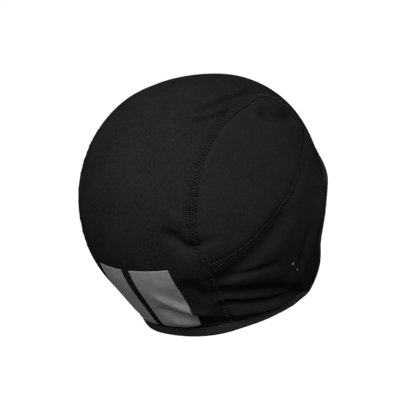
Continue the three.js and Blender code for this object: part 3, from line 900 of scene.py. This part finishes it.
bars = []
for hand, flip in (("right", 1), ("left", MIRROR)):
    outer_top, outer_foot = BAR_OUTER[hand]
    bar_rows = []
    for share in stepped(BAR_ROWS):
        outer = outer_top + (outer_foot - outer_top) * share
        height = BAR_TOP + (BAR_FOOT - BAR_TOP) * share
        bar_rows.append(at_height(BAR_INNER + (outer - BAR_INNER) * stepped(BAR_COLUMNS), height))
    grid = facing_out(np.array(bar_rows) * flip)
    face = cloth(grid)
    face = face + cloth_normal(face) * FILM_LIFT
    film = new_piece(f"reflective_bar_film_{hand}", face, grid_faces(*grid.shape[:2]), grid_uv(grid))
    walled(film, FILM, 1.0)
    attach(film, "root")
    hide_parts(f"reflective_bar_{hand}")
    bars.append(film)
    film_cover = sum(face.area for face in film.data.polygons) / 2
    print(hand, "bar faces", len(film.data.polygons), "area", round(film_cover, 5))

# %% [markdown]
# Two pin-head dots of the same film sit low on the right ear panel. Each is a thin disc, modelled from a
# cylinder with a rounded upper edge and then set down on the cloth along its normal.

# %% Film dots
DOTS = [((85.0, -23.9), 1.9), ((88.7, -29.0), 1.4)]  # place, diameter in mm
DOT_DEPTH, DOT_EDGE = 0.3, 0.1  # mm
DOT_LIFT = 0.12  # mm from the cloth to the middle of the disc
DOT_SIDES = 20
dots = []
for number, (where, across) in enumerate(DOTS):
    bpy.ops.object.select_all(action="DESELECT")
    bpy.ops.mesh.primitive_cylinder_add(vertices=DOT_SIDES, radius=across / 2 * MM, depth=DOT_DEPTH * MM)
    dot = bpy.context.active_object
    dot.name = f"film_dot_{number + 1}"
    edge = dot.modifiers.new("edge", "BEVEL")
    edge.width, edge.segments, edge.limit_method = DOT_EDGE * MM, 2, "ANGLE"
    bpy.ops.object.modifier_apply(modifier=edge.name)
    spot = cloth(direction(*where)[None])
    out = cloth_normal(spot)[0]
    x = unit(np.cross([0.0, 0.0, 1.0], out))
    seat = (spot[0] + out * DOT_LIFT + [0, 0, HEAD_MIDDLE]) * MM
    turn = Matrix(np.column_stack([x, np.cross(out, x), out]).tolist())
    dot.data.transform(Matrix.LocRotScale(seat.tolist(), turn, None))
    dot.data.shade_smooth()
    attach(dot, "root")
    dots.append(dot)
print("dots", len(dots))

# %% [markdown]
# ## Materials
# All colours are hex values as seen on a screen, turned to linear light by one function. One more small
# function adds a node with its settings and links. Each pattern's scale comes from its size in mm.

# %% Material helpers
WAVE_TURN = 0.31416  # width of one band of the wave texture at scale 1, in units of its coordinate


def linear(hex_colour):
    """Linear RGBA from an sRGB hex colour."""
    parts = [int(hex_colour[k:k + 2], 16) / 255 for k in (1, 3, 5)]
    return [x / 12.92 if x <= 0.04045 else ((x + 0.055) / 1.055) ** 2.4 for x in parts] + [1.0]


def add(tree, kind, settings=None, **links):
    """A new node. settings gives its inputs and properties, and a socket in them or in links is joined."""
    node = tree.nodes.new(kind)
    for key, value in (settings or {}).items():
        if isinstance(value, bpy.types.NodeSocket):
            tree.links.new(value, node.inputs[key])
        elif isinstance(key, int) or key in node.inputs:
            node.inputs[key].default_value = value
        else:
            setattr(node, key, value)
    for key, source in links.items():
        tree.links.new(source, node.inputs[key.replace("_", " ")])
    return node


def new_material(name):
    material = bpy.data.materials.new(name)
    material.use_nodes = True
    material.node_tree.nodes.clear()
    return material, material.node_tree


def finish_material(tree, shader):
    out = add(tree, "ShaderNodeOutputMaterial")
    tree.links.new(shader.outputs["BSDF"], out.inputs["Surface"])


print("the darkest cloth in linear light", [round(x, 4) for x in linear("#171718")])

# %% [markdown]
# The jersey is a polyester and elastane interlock knit. A picture of cloth laid on the panels would blur
# close up, so the knit is drawn by patterns on each panel's own UV map, and they run with it. Two crossed
# waves give the columns and rows of loops. The real columns are about 0.5 mm apart and are drawn at
# 0.9 mm, so that they just show. A fine noise gives the fuzz, and a grain and a slow noise make the black
# uneven, as stretched dark cloth is where the ground shows between its loops. Beside a seam the needle
# thread draws the cloth into short creases across it, which read the panel's seam attribute.

# %% Jersey
WALE = 0.9  # mm between two columns of loops
FUZZ, GRAIN, PATCH = 10 / 14, 10 / 6.4, 10 / 0.45  # mm across a clump of fuzz, a speck and a patch
GRAIN_SHARE = 0.62  # of the unevenness, the rest of which is the patches
LOOP_SHARE = 0.45  # how much the loops lighten the cloth
DARK_END, LIGHT_END = 0.38, 0.82  # unevenness at the darkest and the lightest colour
ROUGH_SPREAD = 0.06
COMB_PITCH, COMB_RELIEF = 1.45, 0.14  # mm from crease to crease, and their height
COMB_NEAR, COMB_FAR = 4.0, 10.0  # mm from the seam, between which the creases fade
COMB_PLAIN, COMB_TIGHT = 0.3, 2.2  # share of their height along the seam and at the tight spot


def knit_material(name, dark, light, course, relief, roughness, comb_share):
    """Interlock jersey. course is mm between rows of loops, and relief is their height in mm."""
    material, tree = new_material(name)
    uv = add(tree, "ShaderNodeUVMap", {"uv_map": "UVMap"}).outputs["UV"]
    place = add(tree, "ShaderNodeTexCoord").outputs["Object"]
    wales = add(tree, "ShaderNodeTexWave", {"Scale": WAVE_TURN / (WALE * MM), "Distortion": 0.6,
                                            "Detail": 1.0, "bands_direction": "X"}, Vector=uv)
    courses = add(tree, "ShaderNodeTexWave", {"Scale": WAVE_TURN / (course * MM), "Distortion": 0.8,
                                              "Detail": 1.0, "bands_direction": "Y"}, Vector=uv)
    fuzz = add(tree, "ShaderNodeTexNoise", {"Scale": 1 / (FUZZ * MM), "Detail": 3.0, "Roughness": 0.65},
               Vector=place)
    slow = add(tree, "ShaderNodeTexNoise", {"Scale": 1 / (PATCH * MM), "Detail": 3.0, "Roughness": 0.5},
               Vector=place)
    grain = add(tree, "ShaderNodeTexNoise", {"Scale": 1 / (GRAIN * MM), "Detail": 2.0, "Roughness": 0.6},
                Vector=place)
    loops = add(tree, "ShaderNodeMath", {"operation": "MULTIPLY", 0: wales.outputs["Fac"],
                                         1: courses.outputs["Fac"]})
    height = add(tree, "ShaderNodeMath", {"operation": "ADD", 0: loops.outputs[0], 1: fuzz.outputs["Fac"]})
    uneven = add(tree, "ShaderNodeMix", {"Factor": GRAIN_SHARE}, A=slow.outputs["Fac"],
                 B=grain.outputs["Fac"])
    shade = add(tree, "ShaderNodeMath", {"operation": "MULTIPLY_ADD", 0: loops.outputs[0],
                                         1: LOOP_SHARE, 2: uneven.outputs[0]})
    ramp = add(tree, "ShaderNodeValToRGB", Fac=shade.outputs[0])
    first, last = ramp.color_ramp.elements
    first.position, last.position = DARK_END, LIGHT_END
    first.color, last.color = linear(dark), linear(light)
    knitted = add(tree, "ShaderNodeBump", {"Strength": 0.55, "Distance": relief * MM},
                  Height=height.outputs[0])
    seam = add(tree, "ShaderNodeAttribute", {"attribute_name": "seam"})
    by_seam = add(tree, "ShaderNodeSeparateXYZ", Vector=seam.outputs["Vector"])
    turns = add(tree, "ShaderNodeMath", {"operation": "MULTIPLY", 0: by_seam.outputs["X"],
                                         1: 2 * math.pi / COMB_PITCH})
    comb = add(tree, "ShaderNodeMath", {"operation": "SINE", 0: turns.outputs[0]})
    near = add(tree, "ShaderNodeMapRange", {"From Min": COMB_NEAR, "From Max": COMB_FAR, "To Min": 1.0,
                                            "To Max": 0.0, "interpolation_type": "SMOOTHSTEP"},
               Value=by_seam.outputs["Y"])
    drawn = add(tree, "ShaderNodeMapRange", {"To Min": COMB_PLAIN * comb_share,
                                             "To Max": COMB_TIGHT * comb_share},
                Value=by_seam.outputs["Z"])
    comb_near = add(tree, "ShaderNodeMath", {"operation": "MULTIPLY", 0: comb.outputs[0],
                                             1: near.outputs[0]})
    creases = add(tree, "ShaderNodeMath", {"operation": "MULTIPLY", 0: comb_near.outputs[0],
                                           1: drawn.outputs[0]})
    bumped = add(tree, "ShaderNodeBump", {"Strength": 1.0, "Distance": COMB_RELIEF * MM},
                 Height=creases.outputs[0], Normal=knitted.outputs["Normal"])
    rough = add(tree, "ShaderNodeMapRange", {"To Min": roughness - ROUGH_SPREAD,
                                             "To Max": roughness + ROUGH_SPREAD},
                Value=fuzz.outputs["Fac"])
    shader = add(tree, "ShaderNodeBsdfPrincipled", {"IOR": 1.5, "Specular IOR Level": 0.0},
                 Base_Color=ramp.outputs["Color"], Roughness=rough.outputs[0],
                 Normal=bumped.outputs["Normal"])
    finish_material(tree, shader)
    return material


# %% [markdown]
# The cap shows three finishes of this knit, and a fourth, darker copy of it carries painted shade under the
# stitches of the seams. None has a gloss, because the loops and their fuzz scatter the light, so the shader's
# specular level is nothing and the relief alone shapes the shading.

# %% Finishes of the jersey
# Lightly brushed: the crown looks soft and dull, and the thread's creases show well on it.
jersey = knit_material("brushed_black_interlock_jersey", "#1e1e20", "#323234", 0.8, 0.14, 0.9, 1.0)
# Smooth: the sides and ears look closer and a little more even, with hardly a crease.
side_jersey = knit_material("smooth_black_interlock_jersey", "#232325", "#323235", 0.8, 0.09, 0.88, 0.3)
# Painted shade: the jersey under the stitches is darkened to stand in for the shadow between the threads, the
# darkest line on the cap.
seam_band_painted_shade = knit_material("jersey_under_stitches_with_painted_shade", "#171718", "#222223", 0.8, 0.1, 0.92, 0.0)
# Turned double and stretched round the rim: its loops open, so the hem looks greyer.
hem_jersey = knit_material("turned_hem_jersey", "#343435", "#4a4a4b", 1.1, 0.16, 0.86, 0.0)
print("finishes", [knit.name for knit in (jersey, side_jersey, seam_band_painted_shade, hem_jersey)])

# %% [markdown]
# The thread is textured polyester: dull, a little lighter than the jersey, with a twist that shows as
# fine slanting lines. Each stitch could have a twist in its mesh, but there are thousands of them and
# each is under a millimetre thick, so a wave in the bump is enough.

# %% Thread
TWIST, TWIST_RELIEF = 0.5, 0.08  # mm between two slanting lines, and their height
LINT = 10 / 9  # mm across a lighter speck


def thread_material(name, dark, light):
    """Dull thread, which the eye takes as soft and a shade lighter than the cloth."""
    material, tree = new_material(name)
    place = add(tree, "ShaderNodeTexCoord").outputs["Object"]
    twist = add(tree, "ShaderNodeTexWave", {"Scale": WAVE_TURN / (TWIST * MM), "Distortion": 2.0,
                                            "bands_direction": "DIAGONAL"}, Vector=place)
    lint = add(tree, "ShaderNodeTexNoise", {"Scale": 1 / (LINT * MM), "Detail": 2.0}, Vector=place)
    ramp = add(tree, "ShaderNodeValToRGB", Fac=lint.outputs["Fac"])
    first, last = ramp.color_ramp.elements
    first.color, last.color = linear(dark), linear(light)
    bumped = add(tree, "ShaderNodeBump", {"Strength": 0.5, "Distance": TWIST_RELIEF * MM},
                 Height=twist.outputs["Fac"])
    shader = add(tree, "ShaderNodeBsdfPrincipled", {"Roughness": 0.7, "IOR": 1.5,
                                                    "Specular IOR Level": 0.25},
                 Base_Color=ramp.outputs["Color"], Normal=bumped.outputs["Normal"])
    finish_material(tree, shader)
    return material


seam_thread = thread_material("textured_polyester_thread", "#262627", "#363636")
print("thread", seam_thread.name)

# %% [markdown]
# The film is grey retroreflective transfer: glass beads in a resin, bonded with heat. Away from a lamp it
# looks mid grey and satin, with a very fine bead grain and faint dull patches where it has been creased.
# A plain grey would look like paper, so the beads and patches both come from patterns. The real beads are
# finer than a tenth of a millimetre and are drawn coarser, so that they show.

# %% Reflective film
BEAD, DULL_PATCH = 10 / 26, 10 / 1.2  # mm across
BEAD_RELIEF = 0.05  # mm
BEAD_SHARE = 0.35  # how much the beads lighten the film
FILM_DARK_END, FILM_LIGHT_END = 0.35, 0.95  # pattern at the darkest and the lightest colour
FILM_ROUGH = (0.4, 0.6)


def film_material(name, dark, light):
    """Satin film, whose uneven roughness breaks up the light of the lamps."""
    material, tree = new_material(name)
    place = add(tree, "ShaderNodeTexCoord").outputs["Object"]
    beads = add(tree, "ShaderNodeTexVoronoi", {"Scale": 1 / (BEAD * MM)}, Vector=place)
    patches = add(tree, "ShaderNodeTexNoise", {"Scale": 1 / (DULL_PATCH * MM), "Detail": 4.0}, Vector=place)
    mix = add(tree, "ShaderNodeMath", {"operation": "MULTIPLY_ADD", 0: beads.outputs["Distance"],
                                       1: BEAD_SHARE, 2: patches.outputs["Fac"]})
    ramp = add(tree, "ShaderNodeValToRGB", Fac=mix.outputs[0])
    first, last = ramp.color_ramp.elements
    first.position, last.position = FILM_DARK_END, FILM_LIGHT_END
    first.color, last.color = linear(dark), linear(light)
    bumped = add(tree, "ShaderNodeBump", {"Strength": 0.3, "Distance": BEAD_RELIEF * MM},
                 Height=beads.outputs["Distance"])
    rough = add(tree, "ShaderNodeMapRange", {"To Min": FILM_ROUGH[0], "To Max": FILM_ROUGH[1]},
                Value=patches.outputs["Fac"])
    shader = add(tree, "ShaderNodeBsdfPrincipled", {"IOR": 1.5, "Specular IOR Level": 0.4},
                 Base_Color=ramp.outputs["Color"], Roughness=rough.outputs[0],
                 Normal=bumped.outputs["Normal"])
    finish_material(tree, shader)
    return material


reflective_film = film_material("grey_reflective_transfer_film", "#9fa0a1", "#c0c1c2")
print("film", reflective_film.name)

# %% [markdown]
# Each piece now takes the finish of what it is on the real cap, and the seam bands take the jersey with
# painted shade.
# The photograph shows the crown a little darker and duller than the sides, so the crown alone gets the
# brushed jersey.


# %% Put the finishes on
def dress(pieces, material):
    for piece in pieces:
        piece.data.materials.clear()
        piece.data.materials.append(material)
    print(material.name, "on", len(pieces), "pieces")


panels = [piece for piece in bpy.context.scene.objects if "_jersey" in piece.name]
dress([piece for piece in panels if piece.name.startswith("crown")], jersey)
dress([piece for piece in panels if not piece.name.startswith("crown")], side_jersey)
dress([hem], hem_jersey)
# The seam bands get the jersey darkened as painted shade under the stitches.
dress(seam_bands, seam_band_painted_shade)
dress([*ladders, hem_thread], seam_thread)
dress([*bars, *dots], reflective_film)

# %% [markdown]
# ## Studio
# The cap hangs where a head would hold it, well above a pale floor. A white room alone would light the
# black cloth evenly and hide its folds, so the room is dim and four soft square lamps do the rest: one
# above, a stronger one on the left, a weaker one on the right, and one far behind the cap, which lights
# the edge of its outline. The floor glows a little, so that it looks pale, but casts no light on the cap.

# %% Floor
FLOOR_DROP, FLOOR_SIZE = 1.3, 40  # metres
bpy.ops.object.select_all(action="DESELECT")
bpy.ops.mesh.primitive_plane_add(size=FLOOR_SIZE, location=(0, 0, -FLOOR_DROP))
floor = bpy.context.active_object
floor.name = "floor"
floor_paint, floor_tree = new_material("pale_floor_paint")
finish_material(floor_tree, add(floor_tree, "ShaderNodeBsdfPrincipled",
                                {"Base Color": linear("#f4f4f4"), "Roughness": 0.9, "Specular IOR Level": 0.1,
                                 "Emission Color": linear("#ffffff"), "Emission Strength": 0.92}))
floor.data.materials.append(floor_paint)
floor.visible_diffuse = floor.visible_glossy = False
print("floor", FLOOR_DROP, "m below the crown")

# %% Room
ROOM_LIGHT = 0.095  # strength of the white room on the cap; the camera sees it at full strength
world = bpy.data.worlds.new("white_room")
bpy.context.scene.world = world
world.use_nodes = True
room = world.node_tree
room.nodes.clear()
seen = add(room, "ShaderNodeLightPath")
strength = add(room, "ShaderNodeMapRange", {"To Min": ROOM_LIGHT, "To Max": 1.0},
               Value=seen.outputs["Is Camera Ray"])
white = add(room, "ShaderNodeBackground", {"Color": linear("#ffffff")}, Strength=strength.outputs[0])
room.links.new(white.outputs[0], add(room, "ShaderNodeOutputWorld").inputs["Surface"])
bpy.context.scene.view_settings.view_transform = "Standard"
print("room light", ROOM_LIGHT)


# %% Lamps
def lamp(name, right, up, out, power, size):
    """A square soft lamp, set in metres right of, above and toward the camera from the cap."""
    data = bpy.data.lights.new(name, "AREA")
    data.shape, data.size, data.energy = "SQUARE", size, power
    lit = bpy.data.objects.new(name, data)
    bpy.context.scene.collection.objects.link(lit)
    offset = camera_right * right + camera_up * up - forward * out
    z = unit(offset)
    x = unit(np.cross([0.0, 0.0, 1.0], z))
    aim = np.column_stack([x, np.cross(z, x), z])
    lit.matrix_world = Matrix.LocRotScale((CAMERA_TARGET + offset).tolist(), Matrix(aim.tolist()), None)
    print(name, power, "W")


lamp("key_lamp", -0.1, 1.0, 1.5, 10, 0.6)
lamp("left_lamp", -0.9, 0.8, 1.35, 11.5, 0.8)
lamp("right_lamp", 0.8, 0.8, 1.35, 4.5, 0.8)
lamp("far_lamp", 0.12, 0.2, -1.6, 16, 1.0)
